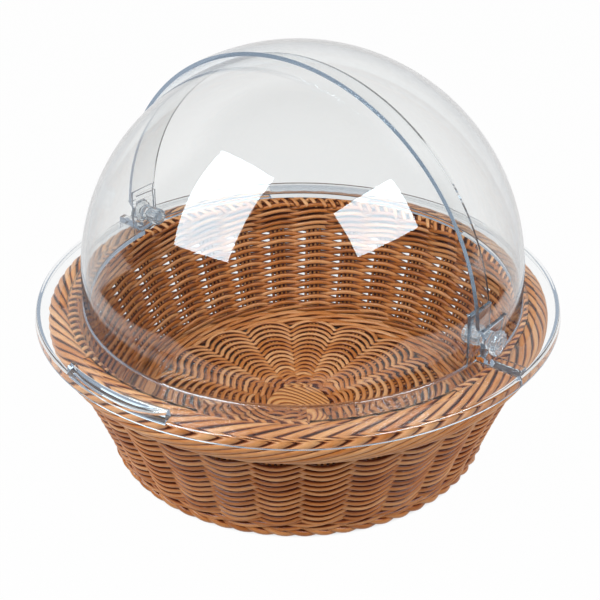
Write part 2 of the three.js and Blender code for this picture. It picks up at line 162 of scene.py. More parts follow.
def caneMaterial(name):
    # extruded polyethylene cane: satin, drawn lines along it, each length a little different in tone, with
    # painted shade at its sides and where it dives behind others
    material = newMaterial(name)
    tone = addNode(material, "Attribute", {"attribute_name": "strandTone"}).outputs["Fac"]
    proud = addNode(material, "Attribute", {"attribute_name": "strandProud"}).outputs["Fac"]
    place = addNode(material, "UVMap", {"uv_map": "strandMap"})
    stretch = addNode(material, "Mapping", {"Scale": (1 / cane["grooveLength"], cane["grooveCount"], 1)},
                      {"Vector": place})
    grooves = addNode(material, "TexNoise", {"Scale": 1.0, "Detail": 3.0, "Roughness": 0.55},
                      {"Vector": stretch}).outputs["Fac"]
    patches = addNode(material, "TexNoise", {"Scale": cane["patchScale"], "Detail": 1.0},
                      {"Vector": stretch}).outputs["Fac"]
    mixed = addNode(material, "Math MULTIPLY_ADD", {1: cane["grooveShare"], 2: cane["rampStart"]},
                    {0: grooves})
    mixed = addNode(material, "Math MULTIPLY_ADD", {1: cane["patchShare"]}, {0: patches, 2: mixed})
    mixed = addNode(material, "Math MULTIPLY_ADD", {1: cane["toneShare"]}, {0: tone, 2: mixed})
    stops = list(zip(cane["rampPlaces"], (cane["dark"], cane["middle"], cane["light"])))
    colour = addNode(material, "ValToRGB", {"stops": stops}, {"Fac": mixed})
    # V runs once round the strand: outward at a quarter of it, inward at three quarters
    around = addNode(material, "SeparateXYZ", {}, {0: place}).outputs["Y"]
    turned = addNode(material, "Math MULTIPLY", {1: fullTurn}, {0: around})
    sideways = addNode(material, "Math COSINE", {}, {0: turned})
    sideways = addNode(material, "Math ABSOLUTE", {}, {0: sideways})
    # painted shade: darker towards both sides of the strand, where canes touch
    gaps = addNode(material, "MapRange", {"From Min": cane["gapFrom"], "To Min": 1.0,
                                          "To Max": cane["paintedGapShade"]}, {"Value": sideways})
    # painted shade: darker on the side of a strand that dives behind others
    outside = addNode(material, "Math SINE", {}, {0: turned})
    outside = addNode(material, "Math MULTIPLY", {}, {0: outside, 1: proud})
    paintedHiddenLevel = addNode(material, "MapRange", {"From Min": -1.0, "From Max": 0.0, "To Min": cane["paintedHiddenShade"]},
                     {"Value": outside})
    level = addNode(material, "Math MULTIPLY", {}, {0: gaps, 1: paintedHiddenLevel})
    shade = addNode(material, "CombineXYZ", {}, {
        k: addNode(material, "Math POWER", {1: power}, {0: level})
        for k, power in enumerate(cane["shadeTint"])})
    paintedShadeColour = addNode(material, "VectorMath MULTIPLY", {}, {0: colour, 1: shade})
    bump = addNode(material, "Bump", {"Strength": cane["bumpStrength"], "Distance": cane["bump"]},
                   {"Height": grooves})
    shader = addNode(material, "BsdfPrincipled", {"Roughness": cane["roughness"], "IOR": cane["ior"]},
                     {"Base Color": paintedShadeColour, "Normal": bump})
    addNode(material, "OutputMaterial", {}, {"Surface": shader})
    return material


clear = dict(
    colour="#FCFDFD", ior=1.5,
    turns=2, edgeColour="#E6EEF7", edgeShare=0.28,  # light turned this often in an edge is part scattered
    hardwareRoughness=0.04, hardwareHaze=0.09,  # knobs and nuts come from the mould a little milky
)


def clearMaterial(name, roughness=0.0, haze=0.0):
    # injection-moulded polycarbonate: water clear and polished, so edges bend the light into bright lines
    material = newMaterial(name)
    glass = addNode(material, "BsdfPrincipled", {"Base Color": linear(clear["colour"]), "IOR": clear["ior"],
                                                 "Roughness": roughness, "Transmission Weight": 1.0})
    path = addNode(material, "LightPath").outputs
    trapped = addNode(material, "Math GREATER_THAN", {1: clear["turns"] - 0.5},
                      {0: path["Glossy Depth"]})
    lampRays = addNode(material, "Math MAXIMUM", {},
                       {0: path["Is Shadow Ray"], 1: path["Is Diffuse Ray"]})
    straight = addNode(material, "Math MAXIMUM", {}, {0: lampRays, 1: trapped})
    through = addNode(material, "BsdfTransparent", {"Color": linear(clear["colour"])})
    scattered = addNode(material, "BsdfDiffuse", {"Color": linear(clear["edgeColour"])})
    share = addNode(material, "Math SUBTRACT", {}, {0: trapped, 1: lampRays})
    share = addNode(material, "Math MULTIPLY", {1: clear["edgeShare"], "use_clamp": True},
                    {0: share})
    leaving = addNode(material, "MixShader", {}, {0: share, 1: through, 2: scattered})
    mix = addNode(material, "MixShader", {}, {0: straight, 1: glass, 2: leaving})
    if haze:
        mix = addNode(material, "MixShader", {0: haze}, {1: mix, 2: scattered})
    addNode(material, "OutputMaterial", {}, {"Surface": mix})
    return material


# Camera, floor and light

camera = dict(
    lens=67.583, sensor=36, distance=871.7 * mm, azimuth=38.72, elevation=29.06, roll=-0.323,
    targetHeight=122.3 * mm, shiftX=0.0038, shiftY=-0.0257,
)


def outward(azimuth, elevation):
    # the way from the object to a place: azimuth 0 lies in front of it and 90 on its right
    azimuth, elevation = math.radians(azimuth), math.radians(elevation)
    level = math.cos(elevation)
    return Vector((level * math.sin(azimuth), -level * math.cos(azimuth), math.sin(elevation)))


def lookAtObject(piece, place, distance):
    away = outward(place["azimuth"], place["elevation"])
    roll = Quaternion((0, 0, 1), math.radians(place["roll"]))
    piece.location = Vector((0, 0, camera["targetHeight"])) + away * distance
    piece.rotation_euler = (away.to_track_quat("Z", "Y") @ roll).to_euler()


def addCamera():
    bpy.ops.object.camera_add()
    eye = bpy.context.object
    lookAtObject(eye, camera, camera["distance"])
    eye.data.lens, eye.data.sensor_width = camera["lens"], camera["sensor"]
    eye.data.shift_x, eye.data.shift_y = camera["shiftX"], camera["shiftY"]
    bpy.context.scene.camera = eye


studio = dict(
    floorSize=12.0, floorColour="#A8A8A8", floorGlow=0.985,  # share of plain white in what the camera sees
    shadeInner=141 * mm, shadeOuter=150 * mm,  # under the basket the floor stays in shade
    # in reflections the white table ends this far in front, to either side and where the backdrop begins
    tableFront=405 * mm, tableTurn=0.128, tableSide=520 * mm, backdropStart=-130 * mm, edgeBlur=15 * mm,
    backdropEdges=((-0.1, -0.3), (0.85, 0.65)),  # it fades in behind the object, and out above
    # levels of the sky on the object, and of what a reflection finds
    skyLevel=0.21, darkRoom=0.02, whiteTable=0.9, whiteBackdrop=0.85,
    insideEdge=0.16, caught=0.82, caughtColour="#BCCCE0",  # for light turned in an edge once, and more often
    boxDistance=1.2, radiance=6.3,
    # the lamps' covers in a reflection, and inside an edge
    reflectedRadiance=18.0, edgeRadiance=1.2, glareColour="#E0F4FF",
    leftBox=dict(azimuth=-17.6, elevation=46.4, width=0.672, height=0.965, roll=9.8),
    rightBox=dict(azimuth=90.7, elevation=41.4, width=0.744, height=0.488, roll=-2.3),
)
towards = outward(camera["azimuth"], 0)


def studioLook(owner, reflected):
    # level and colour of the studio: 1 and white where the eye sees it straight or through clear plastic,
    # the level given in a reflection, and an even one for light turned more than once in an edge;
    # then 1 for a ray that met no rough surface, and how often the ray was reflected
    path = addNode(owner, "LightPath").outputs
    turns = path["Glossy Depth"]
    inside = addNode(owner, "MapRange", {"To Max": studio["insideEdge"]},
                     {"Value": path["Transmission Depth"]})
    found = addNode(owner, "Math MAXIMUM", {}, {0: reflected, 1: inside})
    once = addNode(owner, "MapRange", {"To Min": 1.0}, {"Value": turns, "To Max": found})
    level = addNode(owner, "MapRange", {"From Min": 1.0, "From Max": 2.0, "To Max": studio["caught"]},
                    {"Value": turns, "To Min": once})
    direct = addNode(owner, "Math LESS_THAN", {1: 0.5}, {0: path["Diffuse Depth"]})
    caught = addNode(owner, "MapRange", {"From Min": 1.0, "From Max": 2.0}, {"Value": turns})
    colour = addNode(owner, "Mix", {"data_type": "RGBA", 6: (1, 1, 1, 1), 7: linear(studio["caughtColour"])},
                     {0: caught})
    return level, colour.outputs[2], direct, turns


def addFloor():
    deselectAll()
    bpy.ops.mesh.primitive_plane_add(size=studio["floorSize"])
    ground = bpy.context.object
    ground.name = "studioFloor"
    material = newMaterial("whiteStudioFloor")
    place = addNode(material, "TexCoord").outputs["Object"]

    def within(direction, limit, bothSides=False):
        # 1 where the floor lies short of the limit in a direction, with a soft edge
        far = addNode(material, "VectorMath DOT_PRODUCT", {1: direction}, {0: place})
        far = far.outputs["Value"]
        if bothSides:
            far = addNode(material, "Math ABSOLUTE", {}, {0: far})
        return addNode(material, "MapRange", {"From Min": limit + studio["edgeBlur"],
                                              "From Max": limit - studio["edgeBlur"]}, {"Value": far})

    turn = studio["tableTurn"]
    front = within((towards.x + turn * towards.y, towards.y - turn * towards.x, 0), studio["tableFront"])
    sides = within((-towards.y, towards.x, 0), studio["tableSide"], bothSides=True)
    table = addNode(material, "Math MULTIPLY", {}, {0: front, 1: sides})
    pale = addNode(material, "Math MAXIMUM", {},
                   {0: table, 1: within(towards, studio["backdropStart"])})
    seen = addNode(material, "MapRange", {"To Min": studio["darkRoom"], "To Max": studio["whiteTable"]},
                   {"Value": pale})
    level, colour, direct, turns = studioLook(material, seen)
    away = addNode(material, "VectorMath LENGTH", {}, {0: place}).outputs["Value"]
    lit = addNode(material, "MapRange", {"From Min": studio["shadeInner"], "From Max": studio["shadeOuter"]},
                  {"Value": away})
    share = addNode(material, "MapRange", {"To Min": studio["floorGlow"]}, {"Value": turns})
    for factor in (direct, lit):
        share = addNode(material, "Math MULTIPLY", {}, {0: share, 1: factor})
    paint = addNode(material, "BsdfDiffuse", {"Color": linear(studio["floorColour"])})
    white = addNode(material, "Emission", {}, {"Strength": level, "Color": colour})
    mix = addNode(material, "MixShader", {}, {0: share, 1: paint, 2: white})
    addNode(material, "OutputMaterial", {}, {"Surface": mix})
    ground.data.materials.append(material)


def addSky():
    # plain white to the eye; a reflection finds a white backdrop low behind the object, else a dark room
    world = bpy.data.worlds.new("studioSky")
    bpy.context.scene.world = world
    world.use_nodes = True
    world.node_tree.nodes.clear()
    look = addNode(world, "TexCoord").outputs["Generated"]
    ahead = addNode(world, "VectorMath DOT_PRODUCT", {1: towards}, {0: look}).outputs["Value"]
    height = addNode(world, "SeparateXYZ", {}, {0: look}).outputs["Z"]
    behind, low = (addNode(world, "MapRange", {"From Min": start, "From Max": stop}, {"Value": value})
                   for (start, stop), value in zip(studio["backdropEdges"], (ahead, height)))
    backdrop = addNode(world, "Math MULTIPLY", {}, {0: behind, 1: low})
    reflected = addNode(world, "MapRange", {"To Min": studio["darkRoom"], "To Max": studio["whiteBackdrop"]},
                        {"Value": backdrop})
    level, colour, direct = studioLook(world, reflected)[:3]
    strength = addNode(world, "MapRange", {"To Min": studio["skyLevel"]}, {"Value": direct, "To Max": level})
    background = addNode(world, "Background", {}, {"Strength": strength, "Color": colour})
    addNode(world, "OutputWorld", {}, {"Surface": background})


def addSoftbox(name, box):
    bpy.ops.object.light_add(type="AREA")
    lamp = bpy.context.object
    lamp.name = name
    lookAtObject(lamp, box, studio["boxDistance"])
    light = lamp.data
    light.shape, light.size, light.size_y = "RECTANGLE", box["width"], box["height"]
    light.energy = studio["radiance"] * math.pi * box["width"] * box["height"]
    light.use_nodes = True
    light.node_tree.nodes.clear()
    path = addNode(light, "LightPath").outputs
    glare = addNode(light, "MapRange", {"To Min": studio["reflectedRadiance"] / studio["radiance"],
                                        "To Max": studio["edgeRadiance"] / studio["radiance"]},
                    {"Value": path["Transmission Depth"]})
    strength = addNode(light, "MapRange", {"To Min": 1.0}, {"Value": path["Glossy Depth"], "To Max": glare})
    colour = addNode(light, "Mix", {"data_type": "RGBA", 6: (1, 1, 1, 1), 7: linear(studio["glareColour"])},
                     {0: path["Glossy Depth"]})
    emission = addNode(light, "Emission", {}, {"Strength": strength, "Color": colour.outputs[2]})
    addNode(light, "OutputLight", {}, {"Surface": emission})


addCamera()
addFloor()
addSky()
addSoftbox("leftSoftbox", studio["leftBox"])
addSoftbox("rightSoftbox", studio["rightBox"])
bpy.context.scene.view_settings.view_transform = "Standard"
print("studio ready")


# Strands. Woven cane follows formulas that no hand-shaped primitive can, so each strand is a swept mesh.

openEnd = 0.55  # the open end of a strand narrows to this share


def strandFrames(path, side, loop):
    # unit vectors across the strand: outward from the weave, and square to that and to the strand
    along = (np.roll(path, -1, 0) - np.roll(path, 1, 0)) if loop else np.gradient(path, axis=0)
    along /= np.linalg.norm(along, axis=1, keepdims=True)
    across = np.cross(along, side)
    across /= np.linalg.norm(across, axis=1, keepdims=True)
    return np.cross(across, along), across


def sweepStrands(name, strands, sides=8):
    corners, faces, maps, tones, prouds, first = [], [], [], [], [], 0
    turns = np.arange(sides) * fullTurn / sides
    for s in strands:
        path, loop = s["path"], s["loop"]
        count = len(path)
        outwards, across = strandFrames(path, s["side"], loop)
        narrowing = np.ones(count)
        if not loop:
            narrowing[[0, -1]] = openEnd
        width, depth = s["wide"] / 2 * narrowing[:, None], s["thick"] / 2 * narrowing[:, None]
        rings = (path[:, None, :] + across[:, None, :] * (width * np.cos(turns))[:, :, None]
                 + outwards[:, None, :] * (depth * np.sin(turns))[:, :, None])
        corners.append(rings.reshape(-1, 3))
        steps = np.linalg.norm(np.roll(path, -1, 0) - path, axis=1)
        far = np.concatenate([[0], np.cumsum(steps)]) + s["start"]
        segments = count if loop else count - 1
        i, j = np.meshgrid(np.arange(segments), np.arange(sides), indexing="ij")
        here, there, nextSide = i * sides, ((i + 1) % count) * sides, (j + 1) % sides
        quads = np.stack([here + j, here + nextSide, there + nextSide, there + j], -1)
        faces += (quads.reshape(-1, 4) + first).tolist()
        u0, u1, v0, v1 = far[i], far[i + 1], j / sides, (j + 1) / sides
        maps.append(np.stack([u0, v0, u0, v1, u1, v1, u1, v0], -1).ravel())
        tones.append(np.full(count * sides, s["tone"]))
        prouds.append(np.repeat(np.broadcast_to(s["proud"], count), sides))
        if not loop:
            last = first + (count - 1) * sides
            faces += [list(range(first, first + sides))[::-1], list(range(last, last + sides))]
            maps.append(np.zeros(2 * 2 * sides))
        first += count * sides
    piece = meshPiece(name, np.concatenate(corners).tolist(), faces)
    mesh = piece.data
    mesh.uv_layers.new(name="strandMap").data.foreach_set("uv", np.concatenate(maps))
    mesh.attributes.new("strandTone", "FLOAT", "POINT").data.foreach_set("value", np.concatenate(tones))
    mesh.attributes.new("strandProud", "FLOAT", "POINT").data.foreach_set("value", np.concatenate(prouds))
    mesh.polygons.foreach_set("use_smooth", [True] * len(mesh.polygons))
    mesh.materials.append(caneSkin)
    faceOutwards(piece)
    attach(piece, "basket")
    return piece


def strand(path, side, wide, thick, loop=False, tone=None, proud=0.0):
    # tone is how light it is, proud how far it stands out of the weave, -1 to 1, start where its lines begin
    return dict(path=path, side=side, wide=wide, thick=thick, loop=loop, proud=proud,
                tone=dice.uniform(0, 1) if tone is None else tone, start=dice.uniform(0, 1))


def aroundAxis(turn, radius, height):
    turn, radius, height = np.broadcast_arrays(turn, radius, height)
    return np.stack([radius * np.cos(turn), radius * np.sin(turn), height], -1)


def twinedRow(middle, height, outR, outH, plies, turns, points, reach, twist, wide, thick, sag=0, phase=0):
    # a closed row of strands that twist round each other: out and in, up and down
    strands = []
    turn = np.arange(points) * fullTurn / points
    for ply in range(plies):
        angle = turns * turn + fullTurn * ply / plies + phase
        out = reach * np.cos(angle)
        up = twist * np.sin(angle) - sag * np.cos(angle)
        path = aroundAxis(turn, middle + out * outR - up * outH, height + out * outH + up * outR)
        side = aroundAxis(turn, outR, outH)
        strands.append(strand(path, side, wide, thick, loop=True, proud=np.cos(angle)))
    return strands


def stakeBundles(piece, columns, firstTurn, across, radii, heights, outR, outH):
    # stakes side by side in each column, their gaps measured at the radii given as across
    strands = []
    for column in range(columns):
        for k in range(piece["stakes"]):
            offset = (k - (piece["stakes"] - 1) / 2) * piece["stakeGap"]
            turn = fullTurn * column / columns + firstTurn + offset / across
            strands.append(strand(aroundAxis(turn, radii, heights), aroundAxis(turn, outR, outH),
                                  piece["stake"], piece["stake"]))
    return strands


def smoothThrough(points, count):
    # a smooth run through a few points, each (radius, height)
    points = np.asarray(points, float)
    ends = np.vstack([2 * points[0] - points[1], points, 2 * points[-1] - points[-2]])
    places = np.linspace(0, len(points) - 1 - 1e-9, count)
    k, t = np.floor(places).astype(int), (places % 1)[:, None]
    a, b, c, d = (ends[k + i] for i in range(4))
    bend, twist = 2 * a - 5 * b + 4 * c - d, 3 * b - a - 3 * c + d
    return 0.5 * (2 * b + (c - a) * t + bend * t ** 2 + twist * t ** 3)


dice = np.random.default_rng(7)
caneSkin = caneMaterial("extrudedCaneSatin")

# Sizes that the frame gives
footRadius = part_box("basket_foot")[1][0]
wallLow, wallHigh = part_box("basket_wall")[0][2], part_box("basket_wall")[1][2]
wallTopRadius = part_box("basket_wall")[1][0]
rimRadius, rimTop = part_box("basket_rim")[1][0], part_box("basket_rim")[1][2]
discRadius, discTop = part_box("floor_disc")[1][0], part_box("floor_disc")[1][2]


# The wall: bundles of upright stakes with pairs of weavers twined round them

wall = dict(
    columns=32, bulgeShare=0.364, riseShare=0.43,
    # a pair of weavers turns once round each other every two columns
    weavers=dict(plies=2, turns=16, points=320, reach=2.8 * mm, twist=1.5 * mm, sag=2.0 * mm,
                 wide=4.3 * mm, thick=3.5 * mm),
    rows=12, firstRow=18 * mm, lastRow=85 * mm, wander=0.25 * mm, turnWander=0.08,
    stakes=4, stakeGap=4.0 * mm, stake=2.8 * mm, stakeLow=10 * mm, stakeHigh=99 * mm, stakePoints=12,
)
wallDepth = wall["weavers"]["reach"] + wall["weavers"]["thick"] / 2  # from its outside to the stakes' middle


def wallSection(height):
    # outer radius of the wall at a height, and its outward unit vector in radius and height
    t = np.linspace(-0.1, 1.25, 271)  # a little past both ends of the wall
    bulge = footRadius + (wallTopRadius - footRadius) * wall["bulgeShare"]
    rise = wallLow + (wallHigh - wallLow) * wall["riseShare"]
    radii = (1 - t) ** 2 * footRadius + 2 * t * (1 - t) * bulge + t ** 2 * wallTopRadius
    heights = (1 - t) ** 2 * wallLow + 2 * t * (1 - t) * rise + t ** 2 * wallHigh
    radius = np.interp(height, heights, radii)
    slope = np.interp(height, heights, np.gradient(radii, heights))
    length = np.sqrt(1 + slope ** 2)
    return radius, 1 / length, -slope / length


def wallRows():
    strands = []
    for height in np.linspace(wall["firstRow"], wall["lastRow"], wall["rows"]):
        height += dice.uniform(-wall["wander"], wall["wander"])
        radius, outR, outH = wallSection(height)
        phase = dice.uniform(-wall["turnWander"], wall["turnWander"])
        strands += twinedRow(radius - wallDepth, height, outR, outH, phase=phase, **wall["weavers"])
    return strands


def wallStakes():
    heights = np.linspace(wall["stakeLow"], wall["stakeHigh"], wall["stakePoints"])
    radius, outR, outH = wallSection(heights)
    return stakeBundles(wall, wall["columns"], 0.0, radius, radius - wallDepth, heights, outR, outH)


wallWeave = sweepStrands("wallWeave", wallRows())
sweepStrands("wallStakes", wallStakes(), sides=6)
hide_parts("basket_wall")
print("wall woven")


# The foot: a rope border, with longer strands laid above it

foot = dict(
    ropeRadius=146.6 * mm, ropeHeight=4.7 * mm,
    rope=dict(plies=3, turns=-21, points=336, reach=2.97 * mm, twist=2.2 * mm,
              wide=4.9 * mm, thick=4.655 * mm),
    longHeights=(9.8 * mm, 14.6 * mm), longDepth=4.5 * mm, longPhase=0.7,
    longStrands=dict(plies=3, turns=11, points=352, reach=2.7 * mm, twist=1.9 * mm, sag=0.4 * mm,
                     wide=3.9 * mm, thick=3.315 * mm),
)


def footStrands():
    strands = twinedRow(foot["ropeRadius"], foot["ropeHeight"], 1.0, 0.0, **foot["rope"])
    for k, height in enumerate(foot["longHeights"]):
        radius, outR, outH = wallSection(height)
        strands += twinedRow(radius - foot["longDepth"], height, outR, outH, phase=foot["longPhase"] * k,
                             **foot["longStrands"])
    return strands


footWeave = sweepStrands("footRope", footStrands())
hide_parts("basket_foot")
print("foot laid")


# The floor: bundles of radial stakes with weavers twined round them, out to the wall

floor = dict(
    sectors=18, firstSector=2,  # degrees round to the middle of the first sector
    # thick strands that circle the disc
    roundRows=(30.2 * mm, 36.0 * mm), roundHeight=10.4 * mm,
    roundStrands=dict(plies=2, turns=9, points=288, reach=1.9 * mm, twist=1.5 * mm,
                      wide=4.6 * mm, thick=3.6 * mm),
    firstRow=41.5 * mm, lastRow=124.5 * mm, rows=14, spread=1.15, height=9.6 * mm, reach=1.9 * mm, points=288,
    arch=0.105, archRadii=(26 * mm, 48 * mm),  # share of its radius that a strand bows out, from none to full
    archEnd=0.98,  # share of half a sector, past which it runs level
    # tones from 0.4 up make the floor's canes lighter: painted light from the lamps above
    weaver=4.2 * mm, weaverThick=3.2 * mm, tones=(0.4, 1.3),
    stakes=3, stakeGap=3.4 * mm, stake=2.6 * mm, stakePoints=12, underDisc=2 * mm,
    stakeReach=141 * mm, stakeBend=128 * mm, stakeRise=4 * mm,
    # strands that lean up against the wall: radius and height of each row, and the way out of the weave
    edgeRows=((131 * mm, 10.4 * mm), (137.5 * mm, 13.4 * mm)), edgeOut=(-0.5, 0.866), edgePhase=1.3,
    edgeStrands=dict(plies=3, turns=10, points=320, reach=2.4 * mm, twist=2.0 * mm,
                     wide=4.2 * mm, thick=3.4 * mm),
)


def sectorBow(turn):
    # height of the round arch over each sector, 1 at its middle and 0 between two of them
    half = math.pi / floor["sectors"]
    away = (turn - math.radians(floor["firstSector"]) + half) % (2 * half) - half
    chord, rise = math.sin(half), floor["arch"]
    radius = (chord ** 2 + rise ** 2) / (2 * rise)
    across = np.clip(away / half, -floor["archEnd"], floor["archEnd"]) * chord
    return (np.sqrt(radius ** 2 - across ** 2) - (radius - rise)) / rise


def floorRows():
    strands = []
    turn = np.arange(floor["points"]) * fullTurn / floor["points"]
    first = math.radians(floor["firstSector"])
    share = np.linspace(0, 1, floor["rows"]) ** floor["spread"]
    radii = floor["firstRow"] + (floor["lastRow"] - floor["firstRow"]) * share
    for radius, pitch in zip(radii, np.gradient(radii)):
        arch = floor["arch"] * np.interp(radius, floor["archRadii"], [0, 1])
        for ply in range(2):
            over = np.cos(floor["sectors"] / 2 * (turn - first) + math.pi * ply)
            path = aroundAxis(turn, radius * (1 + arch * (sectorBow(turn) - 0.5)) - over * pitch / 4,
                              floor["height"] + floor["reach"] * over)
            strands.append(strand(path, aroundAxis(turn, 0.0, 1.0), floor["weaver"],
                                  floor["weaverThick"], loop=True,
                                  tone=dice.uniform(*floor["tones"]), proud=over))
    for k, radius in enumerate(floor["roundRows"]):
        strands += twinedRow(radius, floor["roundHeight"], 0.0, 1.0, phase=math.pi * k,
                             **floor["roundStrands"])
    for k, (radius, height) in enumerate(floor["edgeRows"]):
        strands += twinedRow(radius, height, *floor["edgeOut"], phase=floor["edgePhase"] * k,
                             **floor["edgeStrands"])
    return strands


def floorStakes():
    bendStart, stop = floor["stakeBend"], floor["stakeReach"]
    radii = np.linspace(discRadius - floor["underDisc"], stop, floor["stakePoints"])
    bend = np.clip((radii - bendStart) / (stop - bendStart), 0, 1)
    heights = floor["height"] + floor["stakeRise"] * bend ** 2
    first = math.radians(floor["firstSector"])
    return stakeBundles(floor, floor["sectors"], first, radii, radii, heights, 0.0, 1.0)


floorCane = sweepStrands("floorWeave", floorRows() + floorStakes())
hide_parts("basket_floor")
print("floor woven")


# The rim: canes rolled over the edge that cross the crown in pairs and dive, and a band down the inside

rim = dict(
    # tones above the wall's make the rim's canes lighter: painted light
    tones=(0.45, 1.35),
    # places are where the middle of a cane runs, in mm inwards and down from the rim's outer top
    roll=dict(
        number=72, group=2, gather=0.2, wide=4.9 * mm, thick=3.7 * mm, points=44,
        places=((12.5, 27.5), (6.2, 23.5), (2.5, 16.5), (2.2, 9), (3.6, 4.6), (6.6, 2.6), (10.2, 2.1),
                (13.4, 2.9), (15.6, 5.6), (16.0, 8.5)),
        slants=(13, 14, 15, 16, 17.5, 19, 19, 18, 26, 45),  # degrees between a cane and the rim's run
    ),
    band=dict(
        number=126, heading=-1, wide=4.3 * mm, thick=3.4 * mm, points=16,
        places=((13.2, 7.4), (16, 4.9), (19.4, 4.9), (21.8, 6.8), (22.4, 8.8)), slants=(52, 52),
    ),
    # canes inside the roll close it, painted dark as shade
    coreCane=6 * mm, coreShadeTone=-0.9, corePoints=180,
    corePlaces=((7.2, 8.4), (7.4, 14), (8.2, 19.5), (10.5, 7.4), (13.5, 8.8), (12.5, 26)),
    # radius and height in mm of the rows behind the band, and the way out of their weave
    innerRows=((173.4, 90.6), (172.6, 96.8), (172.0, 103.0), (171.4, 109.2)), innerOut=(0.97, -0.25),
)


def fromRim(places):
    return [(rimRadius - inwards * mm, rimTop - down * mm) for inwards, down in places]


def slantedCanes(places, slants, number, points, wide, thick, heading=1, group=1, gather=0.0):
    # canes side by side round the rim, each following the section at a slant to the rim's run
    section = smoothThrough(fromRim(places), points)
    steps = np.linalg.norm(np.diff(section, axis=0), axis=1)
    slant = np.radians(np.interp(np.linspace(0, 1, points - 1), np.linspace(0, 1, len(slants)), slants))
    ahead = np.concatenate([[0], np.cumsum(steps / np.tan(slant) / section[1:, 0])]) * heading
    slope = np.gradient(section, axis=0)
    slope /= np.linalg.norm(slope, axis=1, keepdims=True)
    drawn = fullTurn / number * gather * np.linspace(0, 1, points) ** 2
    strands = []
    for k in range(number):
        turn = fullTurn * k / number + ahead + ((group - 1) / 2 - k % group) * drawn
        strands.append(strand(aroundAxis(turn, section[:, 0], section[:, 1]),
                              aroundAxis(turn, slope[:, 1], -slope[:, 0]), wide, thick,
                              tone=dice.uniform(*rim["tones"])))
    return strands


def coreCanes():
    turn, thick = np.arange(rim["corePoints"]) * fullTurn / rim["corePoints"], rim["coreCane"]
    return [strand(aroundAxis(turn, radius, height), aroundAxis(turn, 1.0, 0.0), thick, thick, loop=True,
                   tone=rim["coreShadeTone"]) for radius, height in fromRim(rim["corePlaces"])]


def rowsBehindBand():
    # the weave goes on up behind the band, out of sight from outside
    return [s for radius, height in rim["innerRows"]
            for s in twinedRow(radius * mm, height * mm, *rim["innerOut"], **wall["weavers"])]


rimRoll = sweepStrands("rimRoll", slantedCanes(**rim["roll"]) + coreCanes())
rimBand = sweepStrands("rimBand", slantedCanes(**rim["band"]) + rowsBehindBand(), sides=6)
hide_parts("basket_rim")
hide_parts("basket_rim_band")
print("rim plaited")


# The disc in the middle of the floor

disc = dict(
    thick=4.3 * mm, edge=1.2 * mm, edgeSteps=4, sides=96,
    dark="#7E3E10", middle="#CC7E3C", light="#E4A668", rampPlaces=(0.02, 0.22, 0.9),
    ringPitch=3.2 * mm, ringCentre=(-7 * mm, 5 * mm, 0), ringStretch=(0.5, 1.0, 1.0), ringTurn=35,
    waver=1.2, waverDetail=0.8, grooveDepth=0.5 * mm, grooveStrength=0.7, roughness=0.42,
)


def discMaterial():
    # moulded imitation of sawn wood: broad wavy growth rings, satin
    material = newMaterial("woodGrainMoulding")
    turned = addNode(material, "Mapping", {"Location": disc["ringCentre"], "Scale": disc["ringStretch"],
                                           "Rotation": (0, 0, math.radians(disc["ringTurn"]))},
                     {"Vector": addNode(material, "TexCoord").outputs["Object"]})
    # at a scale of 1 the rings lie 0.314 apart
    rings = addNode(material, "TexWave",
                    {"wave_type": "RINGS", "rings_direction": "Z", "Scale": 0.314 / disc["ringPitch"],
                     "Distortion": disc["waver"], "Detail": 1.0, "Detail Scale": disc["waverDetail"]},
                    {"Vector": turned})
    rings = rings.outputs["Fac"]
    stops = list(zip(disc["rampPlaces"], (disc["dark"], disc["middle"], disc["light"])))
    colour = addNode(material, "ValToRGB", {"stops": stops}, {"Fac": rings})
    bump = addNode(material, "Bump", {"Strength": disc["grooveStrength"], "Distance": disc["grooveDepth"]},
                   {"Height": rings})
    shader = addNode(material, "BsdfPrincipled", {"Roughness": disc["roughness"]},
                     {"Base Color": colour, "Normal": bump})
    addNode(material, "OutputMaterial", {}, {"Surface": shader})
    return material


def addDisc():
    deselectAll()
    bpy.ops.mesh.primitive_cylinder_add(vertices=disc["sides"], radius=discRadius, depth=disc["thick"],
                                        location=(0, 0, discTop - disc["thick"] / 2))
    piece = bpy.context.object
    piece.name = "woodGrainDisc"
    bpy.ops.object.transform_apply(location=True, rotation=True, scale=True)
    roundEdges(piece, disc["edge"], disc["edgeSteps"])
    smoothByAngle(piece, 30)
    piece.data.materials.append(discMaterial())
    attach(piece, "basket")
    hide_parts("floor_disc")


addDisc()
print("disc set")


# The clear cover: a front half that rolls up inside the back half

cover = dict(
    wall=3 * mm, skirtDepth=7.5 * mm, draft=1.3 * mm, corner=2.4 * mm, fillet=2 * mm, footRounding=0.7 * mm,
    skirtRounding=0.8 * mm, rootRounding=1 * mm, domeRise=16 * mm, past=5 * mm,
    domeSteps=56, turnSteps=240, weld=0.002 * mm, smoothAngle=25,
    backEdge=17.5 * mm, frontEdge=5 * mm, backFlangeStart=7 * mm, flangeGap=1 * mm,
    ribOuter=181.8 * mm, ribWidth=6 * mm, ribDepth=4 * mm, ribRounding=0.8 * mm, ribSteps=24,
    ribHalfAngle=17, frontRibSpacing=58, backRibSpacing=64,  # degrees round the cover
    earRadius=13.5 * mm, frontEarRadius=14 * mm, earSteps=24, step=16 * mm, stepAngle=150,
    stepAcross=1.5 * mm, stepBelow=1.2 * mm, stepAbove=2 * mm,
    frontPadForward=20 * mm, frontPadTop=27 * mm, backPadProud=1.3 * mm, backPadRearward=15 * mm,
    backPadTop=16 * mm, padDepth=18 * mm, padWall=3.2 * mm, padRounding=0.8 * mm,
    bore=4.35 * mm, boreSides=48,
    barHeight=4 * mm, barWidth=7.5 * mm, barOuter=2.5 * mm, barInner=3 * mm, barRounding=1.6 * mm,
)
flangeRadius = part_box("back_cover")[1][1]
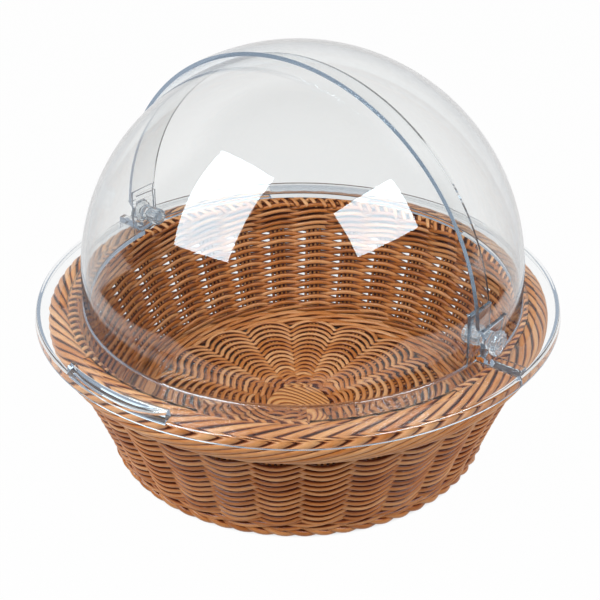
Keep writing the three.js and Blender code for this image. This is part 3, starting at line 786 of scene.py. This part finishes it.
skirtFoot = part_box("back_cover")[0][2]
flangeTop = skirtFoot + cover["skirtDepth"]
flangeBottom = flangeTop - cover["wall"]
domeCentre = flangeTop + cover["domeRise"]
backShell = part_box("back_cover")[1][2] - domeCentre
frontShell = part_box("front_cover")[1][2] - domeCentre
pivotHeight = frame["record"]["behaviour"]["joints"][1]["pos_m"][2]
reach = flangeRadius + cover["past"]
clearSkin = clearMaterial("clearPolycarbonate")
hardwareSkin = clearMaterial("milkyPolycarbonate", clear["hardwareRoughness"], clear["hardwareHaze"])


def skirtRadius(height):
    # outer radius of the skirt at a height above the flange's top
    return flangeRadius - cover["draft"] * (height + cover["skirtDepth"]) / cover["skirtDepth"]


def roundedCorner(before, corner, after, count=6):
    t = np.linspace(0, 1, count)[:, None]
    before, corner, after = (np.array(p, float) for p in (before, corner, after))
    return [tuple(p) for p in (1 - t) ** 2 * before + 2 * t * (1 - t) * corner + t ** 2 * after]


def spinOutline(name, outline):
    # an outline of radius and height, spun round the upright axis into a closed body
    corners = [(r, 0, z) for r, z in outline]
    piece = meshPiece(name, corners, edges=[(i, i + 1) for i in range(len(corners) - 1)])
    editAll(piece)
    bpy.ops.mesh.spin(steps=cover["turnSteps"], angle=fullTurn, center=(0, 0, 0), axis=(0, 0, 1))
    bpy.ops.object.mode_set(mode="OBJECT")
    return faceOutwards(piece, cover["weld"])


def extrudeFace(name, corners, move):
    # one flat face, extruded straight into a closed body
    piece = meshPiece(name, corners, faces=[list(range(len(corners)))])
    editAll(piece)
    bpy.ops.mesh.extrude_region_move(TRANSFORM_OT_translate={"value": move})
    bpy.ops.object.mode_set(mode="OBJECT")
    return faceOutwards(piece)


def skinRings(name, rings, tube=False):
    # a closed body through rings of points, capped at both ends or joined from the last ring to the first
    count, size = len(rings), len(rings[0])
    faces = [(k * size + i, k * size + (i + 1) % size,
              (k + 1) % count * size + (i + 1) % size, (k + 1) % count * size + i)
             for k in range(count if tube else count - 1) for i in range(size)]
    if not tube:
        faces += [tuple(range(size))[::-1], tuple(range((count - 1) * size, count * size))]
    return faceOutwards(meshPiece(name, [p for ring in rings for p in ring], faces))


def acrossX(name, outline, x0, x1):
    return extrudeFace(name, [(x0, y, z) for y, z in outline], (x1 - x0, 0, 0))


def block(name, low, high, rounding=0.0):
    deselectAll()
    middle = [(a + b) / 2 for a, b in zip(low, high)]
    bpy.ops.mesh.primitive_cube_add(size=1, location=middle, scale=[b - a for a, b in zip(low, high)])
    bpy.ops.object.transform_apply(location=True, rotation=True, scale=True)
    piece = bpy.context.object
    piece.name = name
    if rounding:
        roundEdges(piece, rounding)
    return piece


def combine(piece, tool, operation):
    join = piece.modifiers.new("join", "BOOLEAN")
    join.operation, join.solver, join.object = operation, "MANIFOLD", tool
    applyModifier(piece, join)
    bpy.data.objects.remove(tool)


def coverOutline(shell):
    # the section of a half: down the dome's outside, out and round the skirt's foot, and up the inside
    bend, corner, foot = cover["fillet"], cover["corner"], cover["footRounding"]
    small, root = cover["skirtRounding"], cover["rootRounding"]
    inner, skirtTop = shell - cover["wall"], skirtRadius(0)
    footInner, topInner = flangeRadius - cover["wall"], skirtTop - cover["wall"]
    outline = arcPoints((0, domeCentre), shell, 90, 0, cover["domeSteps"])
    outline += arcPoints((shell + bend, flangeTop + bend), bend, 180, 270, 8)
    outline += roundedCorner((skirtTop - corner, flangeTop), (skirtTop, flangeTop),
                             (skirtRadius(-corner), flangeTop - corner), 8)
    outline += roundedCorner((flangeRadius, skirtFoot + foot), (flangeRadius, skirtFoot),
                             (flangeRadius - foot, skirtFoot), 4)
    outline += roundedCorner((footInner + foot, skirtFoot), (footInner, skirtFoot),
                             (footInner, skirtFoot + foot), 4)
    outline += roundedCorner((topInner, flangeBottom - small), (topInner, flangeBottom),
                             (topInner - small, flangeBottom), 4)
    outline += roundedCorner((inner + root, flangeBottom), (inner, flangeBottom),
                             (inner, flangeBottom + root), 4)
    outline += arcPoints((0, domeCentre), inner, 0, 90, cover["domeSteps"])
    outline[0], outline[-1] = (0, outline[0][1]), (0, outline[-1][1])
    return outline


def insideOf(shell):
    inner = shell - cover["wall"]
    low = flangeBottom - cover["past"]
    outline = arcPoints((0, domeCentre), inner, 90, 0, cover["domeSteps"]) + [(inner, low), (0, low)]
    outline[0] = (0, outline[0][1])
    return spinOutline("insideOfShell", outline)


def pivotArc(radius, start, stop):
    return arcPoints((0, pivotHeight), radius, start, stop, cover["earSteps"])


def angleAt(y, radius):
    # degrees on the lower half of a circle round the hinge line, at the depth y
    return math.degrees(math.atan2(-math.sqrt(radius ** 2 - y ** 2), y))


def frontView():
    # the front half keeps what lies inside this side view, the back half what lies inside the next one
    end = -(cover["backFlangeStart"] + cover["flangeGap"])
    low, high = skirtFoot - cover["past"], domeCentre + backShell + cover["past"]
    ear = cover["frontEarRadius"]
    return ([(-reach, low), (end, low)] + pivotArc(ear, angleAt(end, ear), angleAt(cover["frontEdge"], ear))
            + [(cover["frontEdge"], high), (-reach, high)])


def backView():
    start = -cover["backFlangeStart"]
    low, high = skirtFoot - cover["past"], domeCentre + backShell + cover["past"]
    ear, edge, step = cover["earRadius"], -cover["backEdge"], pivotHeight + cover["step"]
    return ([(reach, low), (start, low)] + pivotArc(ear, angleAt(start, ear), cover["stepAngle"] - 360)
            + roundedCorner((edge + cover["stepAcross"], step - cover["stepBelow"]), (edge, step),
                            (edge, step + cover["stepAbove"]), 4)
            + [(edge, high), (reach, high)])


def addRibs(piece, middle, spacing):
    outer, half = cover["ribOuter"], cover["ribHalfAngle"]
    low, high = flangeBottom - cover["ribDepth"], flangeBottom + cover["wall"] / 2
    for side in (-1, 0, 1):
        start, stop = middle + side * spacing - half, middle + side * spacing + half
        flat = (arcPoints((0, 0), outer, start, stop, cover["ribSteps"])
                + arcPoints((0, 0), outer - cover["ribWidth"], stop, start, cover["ribSteps"]))
        rib = extrudeFace("rib", [(x, y, low) for x, y in flat], (0, 0, high - low))
        roundEdges(rib, cover["ribRounding"])
        combine(piece, rib, "UNION")


def addEars(piece, shell, face, y0, y1, top, hollowTo):
    # flat hollow pads where the two halves meet at the hinge line
    low, deep, thick = flangeTop - cover["wall"] / 2, shell - cover["padDepth"], cover["padWall"]
    for side in (1, -1):
        ends = sorted((side * deep, side * face))
        pad = block("pad", (ends[0], y0, low), (ends[1], y1, top), cover["padRounding"])
        combine(pad, insideOf(shell), "DIFFERENCE")
        combine(piece, pad, "UNION")
        ends = sorted((side * deep, side * (face - thick)))
        hollow = block("hollow", (ends[0], y0 + thick, low - cover["past"]), (ends[1], hollowTo, top - thick))
        combine(piece, hollow, "DIFFERENCE")


def drillShaft(piece):
    deselectAll()
    bpy.ops.mesh.primitive_cylinder_add(vertices=cover["boreSides"], radius=cover["bore"], depth=2 * reach,
                                        location=(0, 0, pivotHeight), rotation=(0, math.pi / 2, 0))
    bpy.ops.object.transform_apply(location=True, rotation=True, scale=True)
    combine(piece, bpy.context.object, "DIFFERENCE")


def finishClear(piece, body, node, skin=clearSkin):
    smoothByAngle(piece, cover["smoothAngle"])
    piece.data.materials.clear()
    piece.data.materials.append(skin)
    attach(piece, body)
    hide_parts(node)


handle = dict(
    halfAngle=13.5, rise=7 * mm, footInset=9.5 * mm, topInset=7.3 * mm, topWidth=2.5 * mm,
    scoopDepth=1.6 * mm, scoopEnd=5.2 * mm, scoopMiddle=-1.5 * mm, steps=40,
    rounding=0.7 * mm, innerLean=0.15 * mm, outerRounding=0.5 * mm, outerLean=0.2 * mm, outerDrop=0.6 * mm,
    scoopLean=0.25 * mm,
)


def handleSection(t):
    # radius, and height above the flange, of points round the grip; t runs from -1 to 1 along it
    bow = 1 - t * t
    edge = handle["scoopEnd"] + (handle["scoopMiddle"] - handle["scoopEnd"]) * bow
    inner, top, rounding = flangeRadius - handle["topInset"], handle["rise"], handle["rounding"]
    outer, skirt = inner + handle["topWidth"], skirtRadius(edge)
    middle = ((outer + skirt) / 2 - handle["scoopDepth"] * bow, (top + edge) / 2 - handle["scoopDepth"] * bow)
    half = -cover["skirtDepth"] / 2
    section = [(flangeRadius - handle["footInset"], -cover["wall"] / 2)]
    section += roundedCorner((inner - handle["innerLean"], top - rounding), (inner, top),
                             (inner + rounding, top), 4)
    section += roundedCorner((outer - handle["outerRounding"], top), (outer, top),
                             (outer + handle["outerLean"], top - handle["outerDrop"]), 4)
    section += roundedCorner((outer + handle["scoopLean"], top - rounding), middle, (skirt, edge), 8)[1:]
    return section + [(skirtRadius(half), half), (skirtRadius(0) - cover["wall"], half)]


def addHandle(piece):
    rings = []
    for t in np.linspace(-1, 1, handle["steps"] + 1):
        turn = math.radians(-90 + t * handle["halfAngle"])
        rings.append([(r * math.cos(turn), r * math.sin(turn), flangeTop + z) for r, z in handleSection(t)])
    combine(piece, skinRings("grip", rings), "UNION")


def addFrontCover():
    piece = spinOutline("clearFrontHalf", coverOutline(frontShell))
    addEars(piece, frontShell, frontShell, -cover["frontPadForward"], cover["frontEdge"],
            pivotHeight + cover["frontPadTop"], cover["frontEdge"] + cover["past"])
    combine(piece, acrossX("frontSide", frontView(), -reach, reach), "INTERSECT")
    addRibs(piece, -90, cover["frontRibSpacing"])
    addHandle(piece)
    drillShaft(piece)
    finishClear(piece, "front_half", "front_cover")


def addEndBars(piece):
    front, top, bend = -cover["backFlangeStart"], flangeTop + cover["barHeight"], cover["barRounding"]
    rear, low = front + cover["barWidth"], flangeTop - cover["wall"] / 2
    outline = [(front, low)] + roundedCorner((front, top - bend), (front, top), (front + bend, top))
    outline += roundedCorner((rear - bend, top), (rear, top), (rear, top - bend)) + [(rear, low)]
    for side in (1, -1):
        ends = sorted((side * (backShell + cover["barInner"]), side * (flangeRadius - cover["barOuter"])))
        combine(piece, acrossX("endBar", outline, *ends), "UNION")


def addBackCover():
    piece = spinOutline("clearBackHalf", coverOutline(backShell))
    addEars(piece, backShell, backShell + cover["backPadProud"], -cover["backEdge"] - cover["past"],
            cover["backPadRearward"], pivotHeight + cover["backPadTop"],
            cover["backPadRearward"] - cover["padWall"])
    combine(piece, acrossX("backSide", backView(), -reach, reach), "INTERSECT")
    addRibs(piece, 90, cover["backRibSpacing"])
    addEndBars(piece)
    drillShaft(piece)
    finishClear(piece, "back_half", "back_cover")


addFrontCover()
print("front half moulded")
addBackCover()
print("back half moulded")


# Hinge pins with a knob outside, and the fluted nuts inside

hinge = dict(
    steps=144, shaft=4 * mm, collar=6.5 * mm, collarStart=163.8 * mm, collarEnd=168.8 * mm, edge=0.5 * mm,
    knobDepth=4.6 * mm, scallops=12, scallop=0.5 * mm, scallopedRings=4,
    # the knob's face from its rim inwards: radius and depth below the face in mm
    knobFace=((9.2, 1.2), (9.1, 0.75), (8.8, 0.35), (8.3, 0.1), (7.8, 0), (6.5, 0), (6.2, 0.4), (5.4, 0.4),
              (5.1, 0), (1.8, 0), (1.5, 1.0), (0.05, 1.0)),
    flutes=14, flute=0.8 * mm, chamfer=1.2 * mm,
)


def turnedAlongHinge(name, stations, tube=False):
    # rings round the hinge line, each (place, radius, ripples, depth of ripple)
    rings = []
    turn = np.arange(hinge["steps"]) * fullTurn / hinge["steps"]
    for x, radius, ripples, depth in stations:
        r = radius - depth * (1 - np.cos(ripples * turn)) / 2
        rings.append([(x, a, b) for a, b in zip(r * np.cos(turn), pivotHeight + r * np.sin(turn))])
    return skinRings(name, rings, tube)


def addHingePin(side, name, node):
    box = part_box("hinge_pin_right")
    start, end, edge = box[0][0], box[1][0], hinge["edge"]
    knob, shaft, collar = end - hinge["knobDepth"], hinge["shaft"], hinge["collar"]
    near, far, rippled = hinge["collarStart"], hinge["collarEnd"], hinge["scallopedRings"]
    plain = [(start, shaft - edge), (start + edge, shaft), (near, shaft), (near, collar - edge),
             (near + edge, collar), (far - edge, collar), (far, collar - edge), (far, shaft), (knob, shaft)]
    face = [(end - depth * mm, radius * mm) for radius, depth in hinge["knobFace"]]
    rim = [(knob, face[0][1] - edge), (knob + edge, face[0][1])]
    stations = [(side * x, r, 1, 0.0) for x, r in plain]
    stations += [(side * x, r, hinge["scallops"], hinge["scallop"]) for x, r in rim + face[:rippled]]
    stations += [(side * x, r, 1, 0.0) for x, r in face[rippled:]]
    finishClear(turnedAlongHinge(name, stations), "back_half", node, hardwareSkin)


def addHingeNut(side, name, node):
    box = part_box("hinge_nut_right")
    start, end, radius, chamfer = box[0][0], box[1][0], box[1][1], hinge["chamfer"]
    low = radius - chamfer
    outside = [(start, low), (start + chamfer, radius), (end - chamfer, radius), (end, low)]
    stations = [(side * x, r, hinge["flutes"], hinge["flute"]) for x, r in outside]
    stations += [(side * x, cover["bore"], 1, 0.0) for x in (end, start)]
    finishClear(turnedAlongHinge(name, stations, tube=True), "back_half", node, hardwareSkin)


for side, name in ((1, "right"), (-1, "left")):
    addHingePin(side, "hingePin" + name.title(), "hinge_pin_" + name)
    addHingeNut(side, "hingeNut" + name.title(), "hinge_nut_" + name)
print("hinges fitted")
